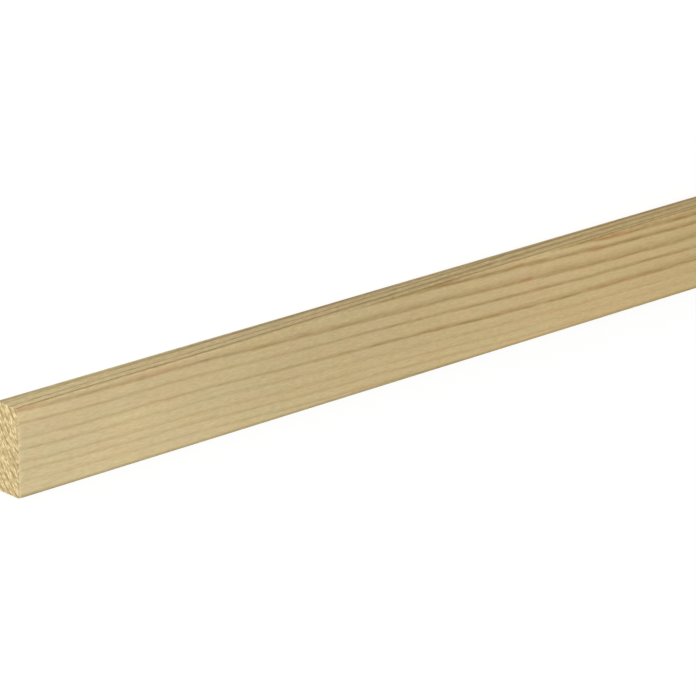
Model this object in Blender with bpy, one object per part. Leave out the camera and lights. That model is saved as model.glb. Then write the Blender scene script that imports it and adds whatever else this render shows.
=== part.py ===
"""Planed softwood strip of flat rectangular section, as it is sold by the length.

Metres, +Z up. X runs along the strip, Y across its width and Z through its
thickness. The strip lies on one wide face, and the origin is on the floor
under the middle of that face. It is one piece of timber, so it is one object.
"""

import bmesh
import bpy
from mathutils import Vector

# Driving dimensions, in metres.
STRIP_LENGTH = 1.000
STRIP_WIDTH = 0.030
STRIP_THICKNESS = 0.010

# The planer leaves each long edge slightly rounded; the sawn ends stay square.
ARRIS_RADIUS = 0.0004
ARRIS_SEGMENTS = 3

# Two points count as one place along the strip when they are closer than this.
SAME_PLACE = 1e-6

# Pale softwood, planed and left bare: linear colour, roughness and metallic value.
WOOD_COLOUR = (0.62, 0.48, 0.25, 1.0)
WOOD_ROUGHNESS = 0.6
WOOD_METALLIC = 0.0


def clear_scene():
    """Remove every object, so that the script gives the same result in any file."""
    for scene_object in list(bpy.data.objects):
        bpy.data.objects.remove(scene_object, do_unlink=True)


def make_softwood():
    """Return the bare softwood material."""
    material = bpy.data.materials.new("softwood")
    material.use_nodes = True
    shader = material.node_tree.nodes["Principled BSDF"]
    shader.inputs["Base Color"].default_value = WOOD_COLOUR
    shader.inputs["Roughness"].default_value = WOOD_ROUGHNESS
    shader.inputs["Metallic"].default_value = WOOD_METALLIC
    material.diffuse_color = WOOD_COLOUR
    return material


def runs_along_strip(edge):
    """Tell whether an edge joins the two ends of the strip."""
    start, end = edge.verts
    return abs(start.co.x - end.co.x) > SAME_PLACE


def make_strip(material):
    """Return the strip: a rectangular length of wood with its four arrises eased.

    The block is made about its own centre, so its faces sit at plus and minus
    half of each size, and the object is then raised to lie on the floor.
    """
    block = bmesh.new()
    bmesh.ops.create_cube(block, size=1.0)
    size = Vector((STRIP_LENGTH, STRIP_WIDTH, STRIP_THICKNESS))
    bmesh.ops.scale(block, vec=size, verts=block.verts)

    arrises = [edge for edge in block.edges if runs_along_strip(edge)]
    bmesh.ops.bevel(
        block,
        geom=arrises,
        offset=ARRIS_RADIUS,
        segments=ARRIS_SEGMENTS,
        profile=0.5,
        affect="EDGES",
    )
    bmesh.ops.recalc_face_normals(block, faces=block.faces)

    mesh = bpy.data.meshes.new("strip")
    block.to_mesh(mesh)
    block.free()
    mesh.materials.append(material)

    strip = bpy.data.objects.new("strip", mesh)
    strip.location.z = STRIP_THICKNESS / 2
    bpy.context.collection.objects.link(strip)
    return strip


def main():
    """Build the whole part."""
    clear_scene()
    make_strip(make_softwood())


main()
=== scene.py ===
"""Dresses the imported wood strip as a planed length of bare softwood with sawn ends.

The strip lies on its wide face with its length along X. Its growth rings come
from one field of the distance to the tree's pith, so the lines on the wide
faces, the narrow edges and the sawn ends meet each other as in a real length.
"""

import logging
import math
from dataclasses import dataclass
from enum import Enum
from typing import Union

import bpy
from mathutils import Matrix, Vector


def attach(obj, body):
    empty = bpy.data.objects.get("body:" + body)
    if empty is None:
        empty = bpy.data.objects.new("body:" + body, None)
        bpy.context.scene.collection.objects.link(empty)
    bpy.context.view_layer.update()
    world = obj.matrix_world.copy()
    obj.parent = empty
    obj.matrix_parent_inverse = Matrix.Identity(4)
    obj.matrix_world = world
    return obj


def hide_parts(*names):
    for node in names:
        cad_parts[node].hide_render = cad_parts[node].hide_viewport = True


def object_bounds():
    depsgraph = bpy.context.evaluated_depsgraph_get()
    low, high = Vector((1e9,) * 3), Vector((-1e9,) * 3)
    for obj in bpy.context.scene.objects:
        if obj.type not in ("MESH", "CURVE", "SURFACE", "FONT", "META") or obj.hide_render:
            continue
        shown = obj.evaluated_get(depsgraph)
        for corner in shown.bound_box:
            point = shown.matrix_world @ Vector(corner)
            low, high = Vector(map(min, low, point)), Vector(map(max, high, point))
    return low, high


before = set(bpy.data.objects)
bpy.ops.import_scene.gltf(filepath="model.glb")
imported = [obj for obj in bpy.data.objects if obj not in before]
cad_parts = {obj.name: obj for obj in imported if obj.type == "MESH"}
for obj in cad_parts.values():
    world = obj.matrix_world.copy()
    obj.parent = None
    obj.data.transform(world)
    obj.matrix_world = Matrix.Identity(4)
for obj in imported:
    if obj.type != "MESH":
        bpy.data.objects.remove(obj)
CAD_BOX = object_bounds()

log = logging.getLogger("wood_strip")

MM = 0.001
PER_MM = 1000.0
TINY = 1e-9
NOISE_MIDDLE = 0.5
CUBE_SIDE = 2.0
SAWN_MARK = "sawn"

# The Mix node's colour sockets go by number, because other sockets of that node have the same names.
MIX_FACTOR = 0
MIX_FIRST = 6
MIX_SECOND = 7
MIX_RESULT = 2


class Blend(Enum):
    """How two colours are put together."""

    BETWEEN = "MIX"
    TINT = "MULTIPLY"


@dataclass(frozen=True)
class Fade:
    """A change from 0 at one value to 1 at another, straight or eased in and out."""

    start: float
    end: float
    smooth: bool = False


class Field:
    """A value that changes over the wood: a node's output socket with arithmetic."""

    def __init__(self, graph: "NodeGraph", socket: bpy.types.NodeSocket) -> None:
        """Wrap a socket.

        Args:
            graph: The graph in which new nodes are made.
            socket: The output socket that carries the value.
        """
        self.graph = graph
        self.socket = socket

    def __add__(self, other: "Term") -> "Field":
        """Return the sum."""
        return self.graph.math("ADD", self, other)

    def __radd__(self, other: "Term") -> "Field":
        """Return the sum, the other way round."""
        return self.graph.math("ADD", other, self)

    def __sub__(self, other: "Term") -> "Field":
        """Return the difference."""
        return self.graph.math("SUBTRACT", self, other)

    def __rsub__(self, other: "Term") -> "Field":
        """Return the difference, the other way round."""
        return self.graph.math("SUBTRACT", other, self)

    def __mul__(self, other: "Term") -> "Field":
        """Return the product."""
        return self.graph.math("MULTIPLY", self, other)

    def __rmul__(self, other: "Term") -> "Field":
        """Return the product, the other way round."""
        return self.graph.math("MULTIPLY", other, self)

    def __truediv__(self, other: "Term") -> "Field":
        """Return the quotient."""
        return self.graph.math("DIVIDE", self, other)

    def __rtruediv__(self, other: "Term") -> "Field":
        """Return the quotient, the other way round."""
        return self.graph.math("DIVIDE", other, self)

    def __pow__(self, other: "Term") -> "Field":
        """Return the power."""
        return self.graph.math("POWER", self, other)


Term = Union[Field, float, int]
Colour = Union[Field, tuple[float, ...]]
AlongStrip = Union[float, tuple[float, ...]]


class NodeGraph:
    """Builds nodes in one tree, for a material or for geometry."""

    def __init__(self, tree: bpy.types.NodeTree) -> None:
        """Wrap a node tree.

        Args:
            tree: The tree that new nodes go into.
        """
        self.tree = tree

    def node(self, kind: str, settings: dict, inputs: dict) -> bpy.types.Node:
        """Make one node.

        Args:
            kind: The node's type name.
            settings: Its own options, set before its sockets.
            inputs: Values or links for its sockets, by socket name or number.

        Returns:
            The new node.
        """
        made = self.tree.nodes.new(kind)
        for name, value in settings.items():
            setattr(made, name, value)
        for key, value in inputs.items():
            self.feed(made.inputs[key], value)
        return made

    def feed(self, socket: bpy.types.NodeSocket, value: object) -> None:
        """Set a socket to a constant, or link it.

        Args:
            socket: The input socket.
            value: A constant, or the field or the output socket to link it to.
        """
        if isinstance(value, Field):
            self.tree.links.new(value.socket, socket)
        elif isinstance(value, bpy.types.NodeSocket):
            self.tree.links.new(value, socket)
        else:
            socket.default_value = value

    def out(self, made: bpy.types.Node, name: Union[str, int] = 0) -> Field:
        """Return one output of a node as a field."""
        return Field(self, made.outputs[name])

    def math(self, operation: str, *terms: Term) -> Field:
        """Return the result of a Math node.

        Args:
            operation: The node's operation.
            terms: Its inputs, in order.

        Returns:
            The result.
        """
        inputs = dict(enumerate(terms))
        return self.out(self.node("ShaderNodeMath", {"operation": operation}, inputs))

    def maximum(self, first: Term, second: Term) -> Field:
        """Return the larger of two values."""
        return self.math("MAXIMUM", first, second)

    def minimum(self, first: Term, second: Term) -> Field:
        """Return the smaller of two values."""
        return self.math("MINIMUM", first, second)

    def absolute(self, value: Term) -> Field:
        """Return a value without its sign."""
        return self.math("ABSOLUTE", value)

    def sign(self, value: Term) -> Field:
        """Return -1, 0 or 1 for a value's sign."""
        return self.math("SIGN", value)

    def ramp(self, value: Term, start: Term, end: Term, smooth: bool = False) -> Field:
        """Return 0 up to start and 1 from end on, with a ramp between them.

        Args:
            value: What the ramp reads.
            start: Where it leaves 0.
            end: Where it reaches 1. It may be lower than start.
            smooth: Whether the ramp eases in and out.

        Returns:
            The ramp's value.
        """
        settings = {"interpolation_type": "SMOOTHSTEP" if smooth else "LINEAR"}
        inputs = {"Value": value, "From Min": start, "From Max": end}
        return self.out(self.node("ShaderNodeMapRange", settings, inputs))

    def fade(self, value: Term, kind: Fade) -> Field:
        """Return the ramp that a fade describes."""
        return self.ramp(value, kind.start, kind.end, kind.smooth)

    def clamp(self, value: Term) -> Field:
        """Return a value held between 0 and 1."""
        return self.ramp(value, 0.0, 1.0)

    def split(self, vector: object) -> tuple[Field, ...]:
        """Return the three values of a vector."""
        made = self.node("ShaderNodeSeparateXYZ", {}, {0: vector})
        return tuple(self.out(made, name) for name in "XYZ")

    def vector(self, x: Term, y: Term, z: Term) -> Field:
        """Return a vector made of three values."""
        return self.out(self.node("ShaderNodeCombineXYZ", {}, {"X": x, "Y": y, "Z": z}))

    def noise(self, at: Field, detail: float, rough: float) -> Field:
        """Return smooth noise around its middle, with lumps of about one unit.

        Args:
            at: Where it is read.
            detail: How many finer layers are added.
            rough: How strong each finer layer is.

        Returns:
            The noise.
        """
        inputs = {"Vector": at, "Scale": 1.0, "Detail": detail, "Roughness": rough}
        return self.out(self.node("ShaderNodeTexNoise", {}, inputs))

    def mix(self, factor: Term, first: Colour, second: Colour, blend: Blend = Blend.BETWEEN) -> Field:
        """Return two colours put together.

        Args:
            factor: How far the second colour counts, from 0 to 1.
            first: A colour.
            second: A colour.
            blend: How they are put together.

        Returns:
            The mixed colour.
        """
        settings = {"data_type": "RGBA", "blend_type": blend.value, "clamp_factor": True}
        inputs = {MIX_FACTOR: factor, MIX_FIRST: first, MIX_SECOND: second}
        return self.out(self.node("ShaderNodeMix", settings, inputs), MIX_RESULT)


@dataclass(frozen=True)
class StripSize:
    """The strip's outer size in metres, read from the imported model's box."""

    length: float
    width: float
    thickness: float
    arris_radius: float = 0.4 * MM

    @classmethod
    def from_box(cls, box: tuple) -> "StripSize":
        """Return the size of a box.

        Args:
            box: The lowest and the highest corner, in metres.

        Returns:
            The strip's size.
        """
        low, high = (Vector(corner) for corner in box)
        extent = high - low
        return cls(length=extent.x, width=extent.y, thickness=extent.z)


@dataclass(frozen=True)
class Wave:
    """A long, regular bend or change of tone along the strip, in millimetres."""

    length: float
    height: float
    first: float


@dataclass(frozen=True)
class Streaks:
    """Streaky noise along the fibres: the size of one streak in millimetres, and its strength."""

    run: float
    grain: float
    strength: float
    detail: float = 2.0
    rough: float = 0.5


@dataclass(frozen=True)
class GrowthRing:
    """One year's ring: where its dark latewood ends, and how it looks.

    Distances are in millimetres across the rings. The edge is counted from the
    long arris that is nearest to the pith, at the strip's sawn left end. Where
    the edge, the width or the darkness changes along the strip, it has one
    value for each of the trunk's stations.
    """

    edge: AlongStrip
    width: AlongStrip
    dark: AlongStrip


@dataclass(frozen=True)
class Patch:
    """A patch of stained or pale wood: its middle, half length and half width in millimetres."""

    along: float
    radial: float
    length: float
    width: float
    strength: float


@dataclass(frozen=True)
class TreeTrunk:
    """Where the strip was in the tree, in millimetres.

    The pith runs beside the strip, beyond the arris between the upper wide face
    and the +Y edge. Along the strip it comes nearer by a fixed slope, and two
    long waves and one bulge bend the rings. Away from the left end the rings
    lie a little further out below the face than on it.
    """

    # Where the pith is, and how it comes nearer along the strip
    pith_beyond_edge: float = 45.0
    pith_above_face: float = 72.0
    approach: float = 0.0197

    # How the rings bend
    bends: tuple[Wave, ...] = (Wave(110.0, -0.17, 2.8), Wave(90.0, -0.10, -10.0))
    bulge_height: float = 0.48
    bulge_rise: Fade = Fade(150.0, 215.0, smooth=True)
    bulge_drop: Fade = Fade(290.0, 215.0, smooth=True)
    bulge_outwards: Fade = Fade(-4.0, 5.0)
    sink: float = 0.5
    sink_along: Fade = Fade(40.0, 120.0)
    sink_deep: Fade = Fade(0.0, 2.0)
    slow_bends: Streaks = Streaks(22.0, 9.0, 0.35, 1.0)
    quick_bends: Streaks = Streaks(5.0, 3.0, 0.12, 1.0)

    # The rings, with the places along the strip that their values are given for
    stations: tuple[float, ...] = (0.0, 100.0, 200.0, 300.0)
    fall: float = 0.6
    growth_power: float = 1.5
    rings: tuple[GrowthRing, ...] = (
        GrowthRing(-19.3, 1.3, 0.7),
        GrowthRing(-16.9, 1.0, 0.6),
        GrowthRing(-14.3, 1.4, 0.8),
        GrowthRing(-11.8, 0.9, 0.6),
        GrowthRing(-9.6, 1.2, 0.8),
        GrowthRing(-7.1, 1.1, 0.8),
        GrowthRing((-4.8, -4.8, -4.8, -4.75), (0.9, 0.9, 1.0, 1.3), (0.80, 0.80, 0.70, 1.00)),
        GrowthRing((-3.1, -3.1, -3.05, -3.0), (1.0, 1.0, 0.8, 0.9), (0.90, 0.90, 0.90, 1.00)),
        GrowthRing((0.27, -0.10, -0.12, 0.08), (0.9, 1.1, 1.6, 2.2), (0.56, 0.68, 0.70, 0.76)),
        GrowthRing((2.62, 2.42, 2.42, 2.50), (0.5, 0.5, 0.7, 0.9), (0.46, 0.40, 0.74, 0.76)),
        GrowthRing((5.65, 5.47, 5.78, 5.66), (0.5, 0.5, 1.1, 2.1), (0.32, 0.45, 0.86, 0.74)),
        GrowthRing((7.90, 8.10, 8.35, 8.30), 0.9, (0.37, 0.21, 0.26, 0.20)),
        GrowthRing((10.65, 10.65, 10.75, 10.50), 0.9, (0.28, 0.28, 0.21, 0.16)),
        GrowthRing((12.45, 12.80, 12.75, 12.70), 0.8, (0.32, 0.32, 0.28, 0.16)),
        GrowthRing(15.0, 0.85, (0.20, 0.30, 0.32, 0.22)),
        GrowthRing(18.4, 0.85, 0.33),
        GrowthRing(21.0, 0.85, 0.35),
        GrowthRing(23.6, 0.85, 0.40),
        GrowthRing(26.0, 0.85, 0.40),
    )

    # Resin-stained and pale patches
    stains: tuple[Patch, ...] = (
        Patch(4.0, 0.1, 9.0, 1.0, 0.6),
        Patch(56.0, -0.3, 26.0, 0.8, 0.55),
        Patch(180.0, -3.4, 10.0, 0.8, 0.7),
        Patch(179.0, 5.4, 9.0, 0.6, 1.0),
        Patch(212.0, 5.6, 12.0, 0.7, 0.6),
        Patch(221.0, -0.1, 6.0, 0.6, 1.0),
        Patch(247.0, 0.2, 6.0, 0.6, 0.9),
        Patch(253.0, -2.9, 7.0, 0.8, 0.9),
        Patch(262.0, -4.7, 13.0, 0.9, 1.0),
        Patch(268.0, 5.5, 36.0, 0.8, 0.7),
        Patch(410.0, -4.9, 30.0, 0.8, 0.8),
        Patch(560.0, -7.2, 26.0, 0.9, 0.9),
        Patch(705.0, -9.8, 34.0, 0.9, 0.8),
        Patch(850.0, 0.0, 24.0, 0.8, 0.7),
    )
    pale_patches: tuple[Patch, ...] = (Patch(0.0, 1.0, 18.0, 2.8, 1.0), Patch(45.0, 7.5, 28.0, 3.5, 0.5))


@dataclass
class WoodCoordinates:
    """Places in the wood, in millimetres, as fields of one node tree.

    They run along the strip from its left end, down from the +Y edge, deep from
    the upper face, across the rings and round them.
    """

    along: Field
    down: Field
    deep: Field
    radial: Field
    tangent: Field


@dataclass
class RingBands:
    """The latewood of all rings: how dark each place is, and the same with all rings equal."""

    dark: Field
    even: Field


class WoodField:
    """Works out the wood's own coordinates and its latewood in any node tree."""

    def __init__(self, graph: NodeGraph, size: StripSize, trunk: TreeTrunk) -> None:
        """Keep what the fields are made from.

        Args:
            graph: The tree that gets the nodes.
            size: The strip's size.
            trunk: Where the strip was in the tree.
        """
        self.graph = graph
        self.trunk = trunk
        self.length = size.length * PER_MM
        self.width = size.width * PER_MM
        self.thickness = size.thickness * PER_MM
        self.pith_distance = math.hypot(trunk.pith_beyond_edge, trunk.pith_above_face)

    def coordinates(self, position: object) -> WoodCoordinates:
        """Return the wood's coordinates at a position on the strip.

        Args:
            position: The position in metres, as a vector socket or field.

        Returns:
            The coordinates.
        """
        graph, trunk = self.graph, self.trunk
        x, y, z = graph.split(position)
        along = x * PER_MM + self.length / 2
        down = self.width / 2 - y * PER_MM
        deep = self.thickness - z * PER_MM

        beyond, above = trunk.pith_beyond_edge, trunk.pith_above_face
        distance = graph.math("SQRT", (down + beyond) ** 2 + (deep + above) ** 2)
        radial = distance - self.pith_distance - along * trunk.approach + self.waves(along, trunk.bends)
        bulge = graph.fade(along, trunk.bulge_rise) * graph.fade(along, trunk.bulge_drop)
        radial = radial - bulge * graph.fade(radial, trunk.bulge_outwards) * trunk.bulge_height
        sunken = graph.fade(along, trunk.sink_along) * graph.fade(deep, trunk.sink_deep)
        radial = radial + sunken * trunk.sink
        tangent = (down * above - deep * beyond) / self.pith_distance
        return WoodCoordinates(along, down, deep, radial, tangent)

    def waves(self, along: Field, waves: tuple[Wave, ...]) -> Term:
        """Return the sum of regular waves along the strip.

        Args:
            along: The distance along the strip.
            waves: The waves.

        Returns:
            Their sum.
        """
        total = 0.0
        for wave in waves:
            turn = (along - wave.first) * (math.tau / wave.length)
            total = self.graph.math("SINE", turn) * wave.height + total
        return total

    def cloud(self, place: WoodCoordinates, kind: Streaks) -> Field:
        """Return streaky noise along the fibres, which lean across the strip as the rings do.

        Args:
            place: The wood's coordinates.
            kind: The streaks.

        Returns:
            The noise around its middle, without the streaks' strength.
        """
        lean = self.trunk.approach / self.pith_distance
        down = (place.down - place.along * (lean * self.trunk.pith_beyond_edge)) / kind.grain
        deep = (place.deep - place.along * (lean * self.trunk.pith_above_face)) / kind.grain
        spot = self.graph.vector(place.along / kind.run, down, deep)
        return self.graph.noise(spot, kind.detail, kind.rough)

    def streaks(self, place: WoodCoordinates, kind: Streaks) -> Field:
        """Return streaky noise around zero, times its strength."""
        return (self.cloud(place, kind) - NOISE_MIDDLE) * kind.strength

    def uneven_radial(self, place: WoodCoordinates) -> Field:
        """Return the distance across the rings with the small bends of real rings."""
        bends = self.streaks(place, self.trunk.slow_bends) + self.streaks(place, self.trunk.quick_bends)
        return place.radial + bends

    def ring_bands(self, place: WoodCoordinates, radial: Field) -> RingBands:
        """Return the latewood of all rings.

        Args:
            place: The wood's coordinates.
            radial: The distance across the rings, with any unevenness added.

        Returns:
            The bands. Each grows slowly towards the ring's edge and ends soon after it.
        """
        graph, trunk = self.graph, self.trunk
        shares = [graph.ramp(place.along, *pair) for pair in zip(trunk.stations, trunk.stations[1:])]
        dark, even = 0.0, 0.0
        for ring in trunk.rings:
            edge, width = (self.at_stations(shares, values) for values in (ring.edge, ring.width))
            growth = graph.ramp(radial, edge - width, edge) ** trunk.growth_power
            band = growth * graph.ramp(radial, edge + trunk.fall, edge, smooth=True)
            dark = band * self.at_stations(shares, ring.dark) + dark
            even = band + even
        return RingBands(dark, even)

    def at_stations(self, shares: list[Field], values: AlongStrip) -> Term:
        """Return a value that may change along the strip between stations.

        Args:
            shares: How far each stretch between two stations is passed, from 0 to 1.
            values: The one value, or the value at each station.

        Returns:
            The value here.
        """
        if isinstance(values, float):
            return values
        value = values[0]
        for share, before, after in zip(shares, values, values[1:]):
            if after != before:
                value = share * (after - before) + value
        return value

    def patchy(self, place: WoodCoordinates, radial: Field, patches: tuple[Patch, ...]) -> Field:
        """Return how far each place lies in one of several patches.

        Args:
            place: The wood's coordinates.
            radial: The uneven distance across the rings.
            patches: The patches, each with a soft rim.

        Returns:
            The strongest patch at each place, from 0 to 1.
        """
        total = 0.0
        for patch in patches:
            across = (radial - patch.radial) / patch.width
            beside = (place.along - patch.along) / patch.length
            distance = self.graph.math("SQRT", across ** 2 + beside ** 2)
            spot = self.graph.ramp(distance, 1.0, 0.0, smooth=True) * patch.strength
            total = self.graph.maximum(total, spot)
        return total


@dataclass
class Tufts:
    """Torn wood: how proud each place is, from 0 to 1, and a chance value for each tuft."""

    proud: Field
    lot: Field


@dataclass(frozen=True)
class SawnTexture:
    """The torn tufts that a saw leaves across the fibres, with sizes in millimetres."""

    tuft_across: float = 0.78
    tuft_round: float = 1.80
    tuft_along: float = 2.6
    hump: Fade = Fade(0.62, 0.14)
    least_hump: float = 0.65
    chance_hump: float = 0.45
    ragged: Streaks = Streaks(2.6, 0.40, 0.75, 2.0, 0.6)
    fine: Streaks = Streaks(2.6, 0.26, 1.0, 3.0, 0.6)
    ring_shift: float = 0.8

    def tufts(self, wood: WoodField, place: WoodCoordinates) -> Tufts:
        """Return the torn wood: cells that are stretched round the rings and ragged at their rims.

        Args:
            wood: The wood's fields.
            place: The wood's coordinates.

        Returns:
            The tufts.
        """
        graph = wood.graph
        shift = wood.streaks(place, self.ragged)
        spot = graph.vector(
            (place.radial + shift) / self.tuft_across,
            (place.tangent - shift) / self.tuft_round,
            place.along / self.tuft_along,
        )
        cells = graph.node("ShaderNodeTexVoronoi", {"feature": "F1"}, {"Vector": spot, "Scale": 1.0})
        lot = graph.split(cells.outputs["Color"])[0]
        hump = graph.fade(graph.out(cells, "Distance"), self.hump)
        proud = hump * (lot * self.chance_hump + self.least_hump) + wood.streaks(place, self.fine)
        return Tufts(graph.clamp(proud), lot)


@dataclass(frozen=True)
class BareSoftwood:
    """The finish of planed, untreated softwood, with linear colours and millimetres."""

    # The two woods of a ring, at the left end and further right, and their tones
    early_left: tuple[float, ...] = (0.668, 0.528, 0.292, 1.0)
    early_right: tuple[float, ...] = (0.660, 0.487, 0.236, 1.0)
    late_left: tuple[float, ...] = (0.400, 0.280, 0.122, 1.0)
    late_right: tuple[float, ...] = (0.404, 0.270, 0.092, 1.0)
    outer_tone: tuple[float, ...] = (1.03, 1.05, 1.06, 1.0)
    outer: Fade = Fade(4.5, 7.5)
    stain_tone: tuple[float, ...] = (1.02, 0.86, 0.84, 1.0)
    pale_tone: tuple[float, ...] = (1.09, 1.09, 1.07, 1.0)
    sapwood: Fade = Fade(8.0, 14.0)
    sapwood_start: Fade = Fade(5.0, 35.0)
    sapwood_light: float = 0.045
    tone_wave: Wave = Wave(250.0, 0.045, -52.5)
    breaks: Streaks = Streaks(9.0, 0.7, 2.2, 2.0, 0.6)

    # Fibres, pores, spots and tinted patches
    fibres: Streaks = Streaks(18.0, 0.30, 0.22, 3.0, 0.6)
    hairs: Streaks = Streaks(60.0, 0.55, 0.10)
    mottle: Streaks = Streaks(40.0, 6.0, 0.08)
    pores: Streaks = Streaks(2.4, 0.5, 0.31, 1.0)
    flecks: Streaks = Streaks(1.8, 0.5, 0.11)
    canals: Streaks = Streaks(6.0, 0.35, -0.13)
    spot: Fade = Fade(0.66, 0.78)
    green_patches: Streaks = Streaks(26.0, 3.2, 0.16)
    green_specks: Streaks = Streaks(5.0, 1.0, 0.12)
    green_shift: tuple[float, ...] = (-0.3, 0.7, 0.3)
    straw_patches: Streaks = Streaks(18.0, 2.4, 0.16)

    # The narrow faces
    edge_face: Fade = Fade(0.5, 0.1)
    edge_tone: tuple[float, ...] = (0.96, 0.965, 0.93, 1.0)
    edge_lines: float = 1.1
    edge_lines_fade: float = 1.2
    edge_pores: float = 1.3

    # Painted shade: the -Y edge, and a band near the underside on the narrow faces
    painted_shade_tone: tuple[float, ...] = (0.64, 0.64, 0.54, 1.0)
    lower_shade: Fade = Fade(1.3, 0.6, smooth=True)
    lower_shade_share: float = 0.70
    back_shade: Fade = Fade(2.6, 1.4, smooth=True)
    back_rim: Fade = Fade(1.7, 0.7)
    rim_share: float = 0.8

    # The sawn ends, with painted shade in the gaps between the torn tufts
    texture: SawnTexture = SawnTexture()
    end_light: tuple[float, ...] = (0.945, 0.785, 0.460, 1.0)
    end_straw: tuple[float, ...] = (0.930, 0.745, 0.385, 1.0)
    end_dark: tuple[float, ...] = (0.400, 0.273, 0.103, 1.0)
    straw_lot: Fade = Fade(0.70, 0.95)
    gap_shade: float = 0.86
    ring_dark: float = 0.38
    end_lift: float = 0.21
    torn_edge: Fade = Fade(0.45, 0.80)
    torn_light: float = 0.6

    # Fine relief in millimetres, and gloss
    fibre_relief: float = 0.125
    ring_relief: float = 0.012
    knife_relief: float = 0.0008
    knife_pitch: float = 1.4
    tuft_relief: float = 0.12
    roughness: float = 0.62
    specular: float = 0.18

    def material(self, size: StripSize, trunk: TreeTrunk) -> bpy.types.Material:
        """Return the material.

        Args:
            size: The strip's size.
            trunk: Where the strip was in the tree.

        Returns:
            The procedural wood material.
        """
        material = bpy.data.materials.new("bare_softwood")
        material.use_nodes = True
        graph = NodeGraph(material.node_tree)
        painter = SoftwoodPainter(self, graph, size, trunk)
        sockets = material.node_tree.nodes["Principled BSDF"].inputs
        graph.feed(sockets["Base Color"], painter.colour())
        graph.feed(sockets["Normal"], painter.normal())
        sockets["Roughness"].default_value = self.roughness
        sockets["Specular IOR Level"].default_value = self.specular
        return material


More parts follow.
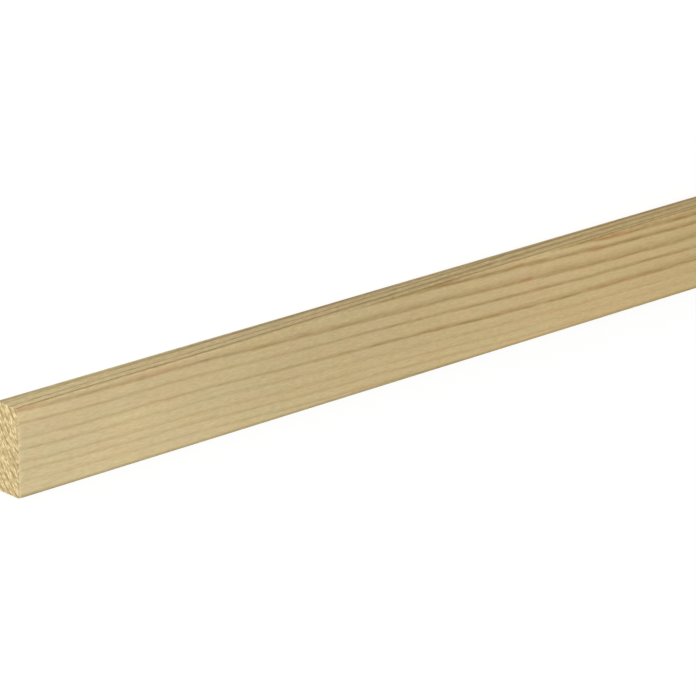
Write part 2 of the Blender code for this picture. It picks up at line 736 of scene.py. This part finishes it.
class SoftwoodPainter:
    """Turns the finish of bare softwood into the nodes of one material."""

    def __init__(self, finish: BareSoftwood, graph: NodeGraph, size: StripSize, trunk: TreeTrunk) -> None:
        """Make the fields that more than one part of the finish reads.

        Args:
            finish: The finish's values.
            graph: The material's graph.
            size: The strip's size.
            trunk: Where the strip was in the tree.
        """
        self.finish = finish
        self.graph = graph
        self.wood = WoodField(graph, size, trunk)
        self.place = self.wood.coordinates(graph.node("ShaderNodeTexCoord", {}, {}).outputs["Object"])
        self.sawn = graph.out(graph.node("ShaderNodeAttribute", {"attribute_name": SAWN_MARK}, {}), "Fac")
        self.radial = self.wood.uneven_radial(self.place) - self.sawn * finish.texture.ring_shift
        self.bands = self.wood.ring_bands(self.place, self.radial)
        self.rightwards = graph.ramp(self.place.along, trunk.stations[0], trunk.stations[-1])
        self.fibres = self.wood.streaks(self.place, finish.fibres)
        self.tufts = finish.texture.tufts(self.wood, self.place)
        from_edge = graph.minimum(self.place.down, self.wood.width - self.place.down)
        self.on_edge_face = graph.fade(from_edge, finish.edge_face)

    def streaks(self, kind: Streaks) -> Field:
        """Return streaky noise on the strip, around zero."""
        return self.wood.streaks(self.place, kind)

    def spots(self, kind: Streaks) -> Field:
        """Return scattered short spots along the fibres, times their strength."""
        return self.graph.fade(self.wood.cloud(self.place, kind), self.finish.spot) * kind.strength

    def colour(self) -> Field:
        """Return the colour of all faces."""
        return self.graph.mix(self.sawn, self.planed_colour(), self.sawn_colour())

    def planed_colour(self) -> Field:
        """Put the colour of the planed faces together: the two woods, resin, tone and painted shade.

        Returns:
            The colour.
        """
        finish, graph = self.finish, self.graph
        early = graph.mix(self.rightwards, finish.early_left, finish.early_right)
        outer = graph.fade(self.radial, finish.outer) * (1 - self.rightwards)
        early = graph.mix(outer, early, finish.outer_tone, Blend.TINT)
        late = graph.mix(self.rightwards, finish.late_left, finish.late_right)
        colour = graph.mix(self.latewood(), early, late)
        trunk = self.wood.trunk
        for patches, tone in ((trunk.stains, finish.stain_tone), (trunk.pale_patches, finish.pale_tone)):
            patchy = self.wood.patchy(self.place, self.radial, patches)
            colour = graph.mix(patchy, colour, tone, Blend.TINT)
        colour = graph.mix(1.0, colour, self.tone(), Blend.TINT)
        colour = graph.mix(self.on_edge_face, colour, finish.edge_tone, Blend.TINT)
        # Painted shade darkens the -Y edge and a band near the underside of the narrow faces
        return graph.mix(self.painted_shade(), colour, finish.painted_shade_tone, Blend.TINT)

    def latewood(self) -> Field:
        """Break the lines of latewood up as real ones are.

        Returns:
            How dark they are, from 0 to 1, and stronger on the narrow faces at the left.
        """
        finish = self.finish
        strong = finish.edge_lines - self.rightwards ** 2 * finish.edge_lines_fade
        lines = self.bands.dark * (self.streaks(finish.breaks) + 1.0)
        return self.graph.clamp(lines * (self.on_edge_face * strong + 1.0))

    def light(self) -> Field:
        """Add up what makes the wood lighter and darker: waves, fibres, pores and spots.

        Returns:
            How light it is, around 1.
        """
        finish = self.finish
        light = self.wood.waves(self.place.along, (finish.tone_wave,)) + (1.0 - finish.tone_wave.height)
        sapwood = self.graph.fade(self.radial, finish.sapwood)
        sapwood = sapwood * self.graph.fade(self.place.along, finish.sapwood_start)
        light = light + sapwood * finish.sapwood_light
        light = light + self.fibres + self.streaks(finish.hairs) + self.streaks(finish.mottle)
        light = light + self.streaks(finish.pores) * (self.on_edge_face * finish.edge_pores + 1.0)
        return light + self.spots(finish.flecks) + self.spots(finish.canals)

    def tone(self) -> Field:
        """Tint the wood in greenish and straw-coloured patches.

        Returns:
            The factors for red, green and blue.
        """
        light = self.light()
        green = self.streaks(self.finish.green_patches) + self.streaks(self.finish.green_specks)
        straw = self.streaks(self.finish.straw_patches)
        red, middle, blue = (light + green * shift for shift in self.finish.green_shift)
        return self.graph.vector(red, middle, blue - straw)

    def painted_shade(self) -> Field:
        """Darken the wood with painted shade, as on the edge that it stood on.

        Returns:
            How far it is darkened, from 0 to 1: most on the -Y narrow face with its arrises, and in
            a band near the underside on both narrow faces.
        """
        finish, graph = self.finish, self.graph
        below = graph.fade(self.wood.width - self.place.down, finish.lower_shade) * finish.lower_shade_share
        from_back = self.wood.thickness - self.place.deep
        rim = graph.fade(from_back, finish.back_rim) * finish.rim_share
        behind = graph.fade(from_back, finish.back_shade) * (1 - rim) * self.on_edge_face
        return graph.maximum(below, behind)

    def sawn_colour(self) -> Field:
        """Return the colour of the sawn ends: painted shade in the gaps, and dark rings, between light tufts.

        Returns:
            The colour. Fibres torn on the long edges stay light.
        """
        finish, graph, along = self.finish, self.graph, self.place.along
        # The gaps between tufts, where the sawn face lies deepest, get painted shade; the rings add their own
        # dark latewood
        dark = (1 - self.tufts.proud) * finish.gap_shade + self.bands.even * finish.ring_dark - finish.end_lift
        on_edge = graph.fade(graph.minimum(along, self.wood.length - along), finish.torn_edge)
        dark = graph.clamp(dark * (1 - on_edge * finish.torn_light))
        light = graph.mix(graph.fade(self.tufts.lot, finish.straw_lot), finish.end_light, finish.end_straw)
        return graph.mix(dark, light, finish.end_dark)

    def normal(self) -> bpy.types.NodeSocket:
        """Make the surface's fine relief: fibres, rings and knife marks, or torn tufts.

        Returns:
            The socket with the bumpy normal.
        """
        finish, graph = self.finish, self.graph
        knife = graph.math("SINE", self.place.along * (math.tau / finish.knife_pitch)) * finish.knife_relief
        planed = self.fibres * finish.fibre_relief + self.bands.dark * finish.ring_relief + knife
        height = planed + (self.tufts.proud * finish.tuft_relief - planed) * self.sawn
        return graph.node("ShaderNodeBump", {}, {"Distance": MM, "Height": height}).outputs["Normal"]


@dataclass(frozen=True)
class SawnEnds:
    """The shape that the saw leaves at both ends, in millimetres.

    The long edges are chipped, most on the lower half, and the sawn face lies a
    little inside the strip's square end.
    """

    chip_reach: Fade = Fade(1.6, 0.0)
    chip_depth: float = 0.26
    chip_size: float = 1.3
    chip_lot: Fade = Fade(0.25, 0.70)
    chip_lower: Fade = Fade(1.0, 9.0, smooth=True)
    least_chip: float = 0.3
    noise_detail: float = 3.0
    noise_rough: float = 0.6
    recess_reach: Fade = Fade(3.0, 0.0, smooth=True)
    recess_depth: float = 0.30
    gap_share: float = 0.70
    ring_share: float = 0.15
    strokes: Streaks = Streaks(9.0, 0.6, 0.20, 1.0)

    def chips(self, graph: NodeGraph, where: WoodCoordinates) -> Field:
        """Return how deep the long edges of an end are chipped.

        Args:
            graph: The block's graph.
            where: The wood's coordinates on the end.

        Returns:
            The depth in millimetres.
        """
        spot = graph.vector(where.along, where.down / self.chip_size, where.deep / self.chip_size)
        rough = graph.fade(graph.noise(spot, self.noise_detail, self.noise_rough), self.chip_lot)
        lower = graph.fade(where.down, self.chip_lower) * (1.0 - self.least_chip) + self.least_chip
        return rough * lower * self.chip_depth

    def recess(self, wood: WoodField, where: WoodCoordinates, texture: SawnTexture) -> Field:
        """Return how far the sawn face lies inside the strip's square end.

        Args:
            wood: The wood's fields in the block's tree.
            where: The wood's coordinates on the end.
            texture: The torn tufts.

        Returns:
            The distance in millimetres, least on the tufts.
        """
        graph, kind = wood.graph, self.strokes
        gaps = (1 - texture.tufts(wood, where).proud) * self.gap_share
        spot = graph.vector(where.down / kind.grain, where.deep / kind.run, where.along / kind.run)
        strokes = graph.noise(spot, kind.detail, kind.rough) * kind.strength
        rings = wood.ring_bands(where, where.radial - texture.ring_shift).even * self.ring_share
        return graph.clamp(gaps + strokes + rings) * self.recess_depth


@dataclass
class PlanedStrip:
    """The strip itself: one closed block of wood with eased arrises and sawn ends."""

    size: StripSize
    trunk: TreeTrunk
    finish: BareSoftwood
    ends: SawnEnds = SawnEnds()
    cells_along: int = 79
    cells_across: int = 240
    cells_through: int = 80
    end_crowding: float = 3.0
    end_share: float = 1e-4
    chip_power_across: float = 8.0
    chip_power_through: float = 6.0
    chip_marks: Fade = Fade(0.04, 0.12)
    sharp_angle: float = math.radians(40)
    name: str = "planed_strip"

    def sizes(self) -> dict[str, float]:
        """Name the inputs of the block's tree.

        Returns:
            Each input's value in metres, by its name.
        """
        size = self.size
        names = ("Length", "Width", "Thickness", "Arris Radius")
        return dict(zip(names, (size.length, size.width, size.thickness, size.arris_radius)))

    def build(self) -> bpy.types.Object:
        """Make the block with its geometry tree, and turn the result into a plain mesh.

        Returns:
            The finished strip.
        """
        tree = self.block_tree(self.finish.material(self.size, self.trunk))
        carrier = bpy.data.objects.new("block_carrier", bpy.data.meshes.new("block_carrier"))
        bpy.context.collection.objects.link(carrier)
        modifier = carrier.modifiers.new("block", "NODES")
        modifier.node_group = tree
        sizes = self.sizes()
        for item in tree.interface.items_tree:
            if item.name in sizes:
                modifier[item.identifier] = sizes[item.name]
        bpy.context.view_layer.update()
        evaluated = carrier.evaluated_get(bpy.context.evaluated_depsgraph_get())
        mesh = bpy.data.meshes.new_from_object(evaluated)
        bpy.data.objects.remove(carrier, do_unlink=True)

        mesh.name = self.name
        mesh.shade_smooth()
        mesh.set_sharp_from_angle(angle=self.sharp_angle)
        strip = bpy.data.objects.new(self.name, mesh)
        bpy.context.collection.objects.link(strip)
        return strip

    def block_tree(self, material: bpy.types.Material) -> bpy.types.NodeTree:
        """Return the geometry tree that makes the block.

        Args:
            material: The finish that the block gets.

        Returns:
            The tree, with the strip's sizes as its inputs.
        """
        tree = bpy.data.node_groups.new("planed_block", "GeometryNodeTree")
        for name in self.sizes():
            tree.interface.new_socket(name, in_out="INPUT", socket_type="NodeSocketFloat")
        tree.interface.new_socket("Geometry", in_out="OUTPUT", socket_type="NodeSocketGeometry")
        graph = NodeGraph(tree)
        cube_inputs = {
            "Size": (CUBE_SIDE, CUBE_SIDE, CUBE_SIDE),
            "Vertices X": self.cells_along + 1,
            "Vertices Y": self.cells_across + 1,
            "Vertices Z": self.cells_through + 1,
        }
        block = graph.node("GeometryNodeMeshCube", {}, cube_inputs).outputs["Mesh"]
        place, sawn = self.shaped(graph)
        settings = {"data_type": "FLOAT", "domain": "POINT"}
        inputs = {"Geometry": block, "Name": SAWN_MARK, "Value": sawn}
        marked = graph.node("GeometryNodeStoreNamedAttribute", settings, inputs).outputs[0]
        moved = graph.node("GeometryNodeSetPosition", {}, {"Geometry": marked, "Position": place}).outputs[0]
        plain = graph.node("GeometryNodeRealizeInstances", {}, {"Geometry": moved}).outputs[0]
        inputs = {"Geometry": plain, "Material": material}
        dressed = graph.node("GeometryNodeSetMaterial", {}, inputs).outputs[0]
        graph.node("NodeGroupOutput", {}, {"Geometry": dressed})
        return tree

    def shaped(self, graph: NodeGraph) -> tuple[Field, Field]:
        """Return how the points of a cube from -1 to 1 become the strip.

        Args:
            graph: The block's graph.

        Returns:
            The place of each point in metres, and 1 where the saw has torn the wood.
        """
        given = graph.node("NodeGroupInput", {}, {})
        length, width, thickness, radius = (graph.out(given, name) for name in self.sizes())
        half = (width / 2, thickness / 2)
        corner = graph.node("GeometryNodeInputPosition", {}, {}).outputs[0]
        share, across, through = graph.split(corner)
        side = graph.sign(share)
        inward = 1 - graph.absolute(share)
        x = side * (1 - inward ** self.end_crowding) * length / 2
        y, z = self.eased(graph, (across * half[0], through * half[1]), half, radius)

        from_end = (length / 2 - graph.absolute(x)) * PER_MM
        wood = WoodField(graph, self.size, self.trunk)
        where = wood.coordinates(graph.vector(side * length / 2, y, z + half[1]))
        chip = self.ends.chips(graph, where) * graph.fade(from_end, self.ends.chip_reach)
        recess = self.ends.recess(wood, where, self.finish.texture)
        x = x - side * recess * graph.fade(from_end, self.ends.recess_reach) * MM
        y = self.chipped(graph, y, half[0], self.chip_power_across, chip)
        z = self.chipped(graph, z, half[1], self.chip_power_through, chip)
        on_end = graph.math("LESS_THAN", inward, self.end_share)
        sawn = graph.maximum(on_end, graph.fade(chip, self.chip_marks))
        return graph.vector(x, y, z + half[1]), sawn

    def chipped(self, graph: NodeGraph, value: Field, half: Field, power: float, chip: Field) -> Field:
        """Return one coordinate of the section with its outermost wood chipped away.

        Args:
            graph: The block's graph.
            value: The coordinate, from minus half to half.
            half: Half of the section's size that way.
            power: How sharply the chips keep to the outermost wood.
            chip: How deep the chips are, in millimetres.

        Returns:
            The new coordinate.
        """
        outermost = (graph.absolute(value) / half) ** power
        return value * (1 - outermost * chip * MM / half)

    def eased(self, graph: NodeGraph, point: tuple, half: tuple, radius: Field) -> tuple[Field, Field]:
        """Return a point of the section with the square corners drawn in to arcs.

        Args:
            graph: The block's graph.
            point: The point's place across and through the strip.
            half: Half of the strip's width and half of its thickness.
            radius: The arrises' radius.

        Returns:
            The point's new place across and through the strip.
        """
        flats = [graph.minimum(graph.absolute(at), edge - radius) for at, edge in zip(point, half)]
        over = [graph.absolute(at) - flat for at, flat in zip(point, flats)]
        reach = graph.math("SQRT", over[0] ** 2 + over[1] ** 2)
        shrink = graph.maximum(*over) / graph.maximum(reach, TINY)
        y, z = (graph.sign(at) * (flat + out * shrink) for at, flat, out in zip(point, flats, over))
        return y, z


@dataclass(frozen=True)
class PhotoView:
    """The camera that sees the strip as the picture does.

    The picture's upward direction is the strip's width, +Y, and it looks at the
    upper wide face, so turn and rise are angles from that face: turn about the
    width and rise above its middle line. The strip's near lower corner is at a
    known pixel, counted from the picture's top left.
    """

    picture: float = 696.0
    focal_pixels: float = 4450.0
    turn: float = math.radians(41.92)
    rise: float = math.radians(19.67)
    distance_in_widths: float = 46.19
    corner_pixel: tuple[float, float] = (18.4, 499.5)
    sensor: float = 36.0
    sight: float = 50.0

    def build(self, size: StripSize) -> bpy.types.Object:
        """Make the scene's camera.

        Args:
            size: The strip's size.

        Returns:
            The camera object.
        """
        right = Vector((math.cos(self.turn), 0.0, math.sin(self.turn)))
        level = math.cos(self.rise)
        ahead = Vector((math.sin(self.turn) * level, -math.sin(self.rise), -math.cos(self.turn) * level))
        up = right.cross(ahead)
        middle = self.picture / 2
        slide = (self.corner_pixel[0] - middle) / self.focal_pixels
        lift = (middle - self.corner_pixel[1]) / self.focal_pixels
        corner = Vector((-size.length / 2, -size.width / 2, size.thickness))
        distance = self.distance_in_widths * size.width
        place = corner - (ahead + right * slide + up * lift) * distance

        data = bpy.data.cameras.new("photo_view")
        data.sensor_width = self.sensor
        data.lens = self.focal_pixels / self.picture * self.sensor
        data.clip_end = self.sight
        camera = bpy.data.objects.new("photo_view", data)
        turned = Matrix((right, up, -ahead)).transposed()
        camera.matrix_world = Matrix.Translation(place) @ turned.to_4x4()
        bpy.context.collection.objects.link(camera)
        bpy.context.scene.camera = camera
        return camera


@dataclass(frozen=True)
class SoftLamp:
    """One square lamp: its power in watts, its side, its place and where it points, in metres."""

    power: float
    side: float
    place: tuple[float, float, float]
    aim: tuple[float, float, float]

    def build(self, name: str) -> None:
        """Hang the lamp.

        Args:
            name: The lamp's name.
        """
        data = bpy.data.lights.new(name, "AREA")
        data.energy = self.power
        data.size = self.side
        lamp = bpy.data.objects.new(name, data)
        place = Vector(self.place)
        turned = (Vector(self.aim) - place).to_track_quat("-Z", "Y").to_matrix()
        lamp.matrix_world = Matrix.Translation(place) @ turned.to_4x4()
        bpy.context.collection.objects.link(lamp)


@dataclass(frozen=True)
class Studio:
    """A plain white studio: floor, two soft lamps and even daylight all round."""

    floor_size: float = 12.0
    floor_colour: tuple[float, ...] = (0.55, 0.55, 0.55, 1.0)
    floor_shade: tuple[float, ...] = (0.30, 0.30, 0.30, 1.0)
    floor_glow: float = 0.78
    white: tuple[float, ...] = (1.0, 1.0, 1.0, 1.0)
    daylight: float = 0.45
    key_light: SoftLamp = SoftLamp(100.0, 2.4, (-3.65, 0.55, 2.68), (-0.5, 0.0, 0.0))
    edge_light: SoftLamp = SoftLamp(1.7, 0.3, (-0.8, 0.6, 0.25), (-0.5, 0.0, 0.0))

    def build(self) -> None:
        """Make the floor, the lamps and the world."""
        self.lay_floor()
        self.key_light.build("key_light")
        self.edge_light.build("edge_light")
        self.surround()

    def seen(self, graph: NodeGraph) -> Field:
        """Return which rays show the surroundings rather than only light the strip.

        Args:
            graph: The graph of the floor's material or of the world.

        Returns:
            1 for the rays that show them, and 0 for the others.
        """
        path = graph.node("ShaderNodeLightPath", {}, {})
        shows = [graph.out(path, f"Is {kind} Ray") for kind in ("Camera", "Glossy", "Transmission")]
        return graph.maximum(graph.maximum(shows[0], shows[1]), shows[2])

    def lay_floor(self) -> None:
        """Lay a floor that looks white and still takes a soft shadow."""
        mesh = bpy.data.meshes.new("floor")
        half = self.floor_size / 2
        corners = [(-half, -half, 0), (half, -half, 0), (half, half, 0), (-half, half, 0)]
        mesh.from_pydata(corners, [], [(0, 1, 2, 3)])
        floor = bpy.data.objects.new("floor", mesh)
        bpy.context.collection.objects.link(floor)

        material = bpy.data.materials.new("white_floor")
        material.use_nodes = True
        nodes = material.node_tree.nodes
        nodes.remove(nodes["Principled BSDF"])
        graph = NodeGraph(material.node_tree)
        real = graph.node("ShaderNodeBsdfDiffuse", {}, {"Color": self.floor_colour}).outputs[0]
        faint = graph.node("ShaderNodeBsdfDiffuse", {}, {"Color": self.floor_shade}).outputs[0]
        lit = {"Color": self.white, "Strength": self.floor_glow}
        glow = graph.node("ShaderNodeEmission", {}, lit).outputs[0]
        shown = graph.node("ShaderNodeAddShader", {}, {0: faint, 1: glow}).outputs[0]
        both = graph.node("ShaderNodeMixShader", {}, {0: self.seen(graph), 1: real, 2: shown}).outputs[0]
        graph.feed(nodes["Material Output"].inputs["Surface"], both)
        mesh.materials.append(material)

    def surround(self) -> None:
        """Surround the strip with even white light, on a white background."""
        world = bpy.data.worlds.new("even_daylight")
        world.use_nodes = True
        graph = NodeGraph(world.node_tree)
        sockets = world.node_tree.nodes["Background"].inputs
        sockets["Color"].default_value = self.white
        graph.feed(sockets["Strength"], self.seen(graph) * (1.0 - self.daylight) + self.daylight)
        bpy.context.scene.world = world


def main() -> None:
    """Build the camera, the studio and the dressed strip."""
    bpy.context.scene.view_settings.view_transform = "Standard"
    size = StripSize.from_box(CAD_BOX)
    PhotoView().build(size)
    Studio().build()

    strip = PlanedStrip(size, TreeTrunk(), BareSoftwood()).build()
    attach(strip, "root")
    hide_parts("strip")
    log.info("%s: %d faces", strip.name, len(strip.data.polygons))


if __name__ == "__main__":
    logging.basicConfig(level=logging.INFO, format="%(name)s: %(message)s")
    main()
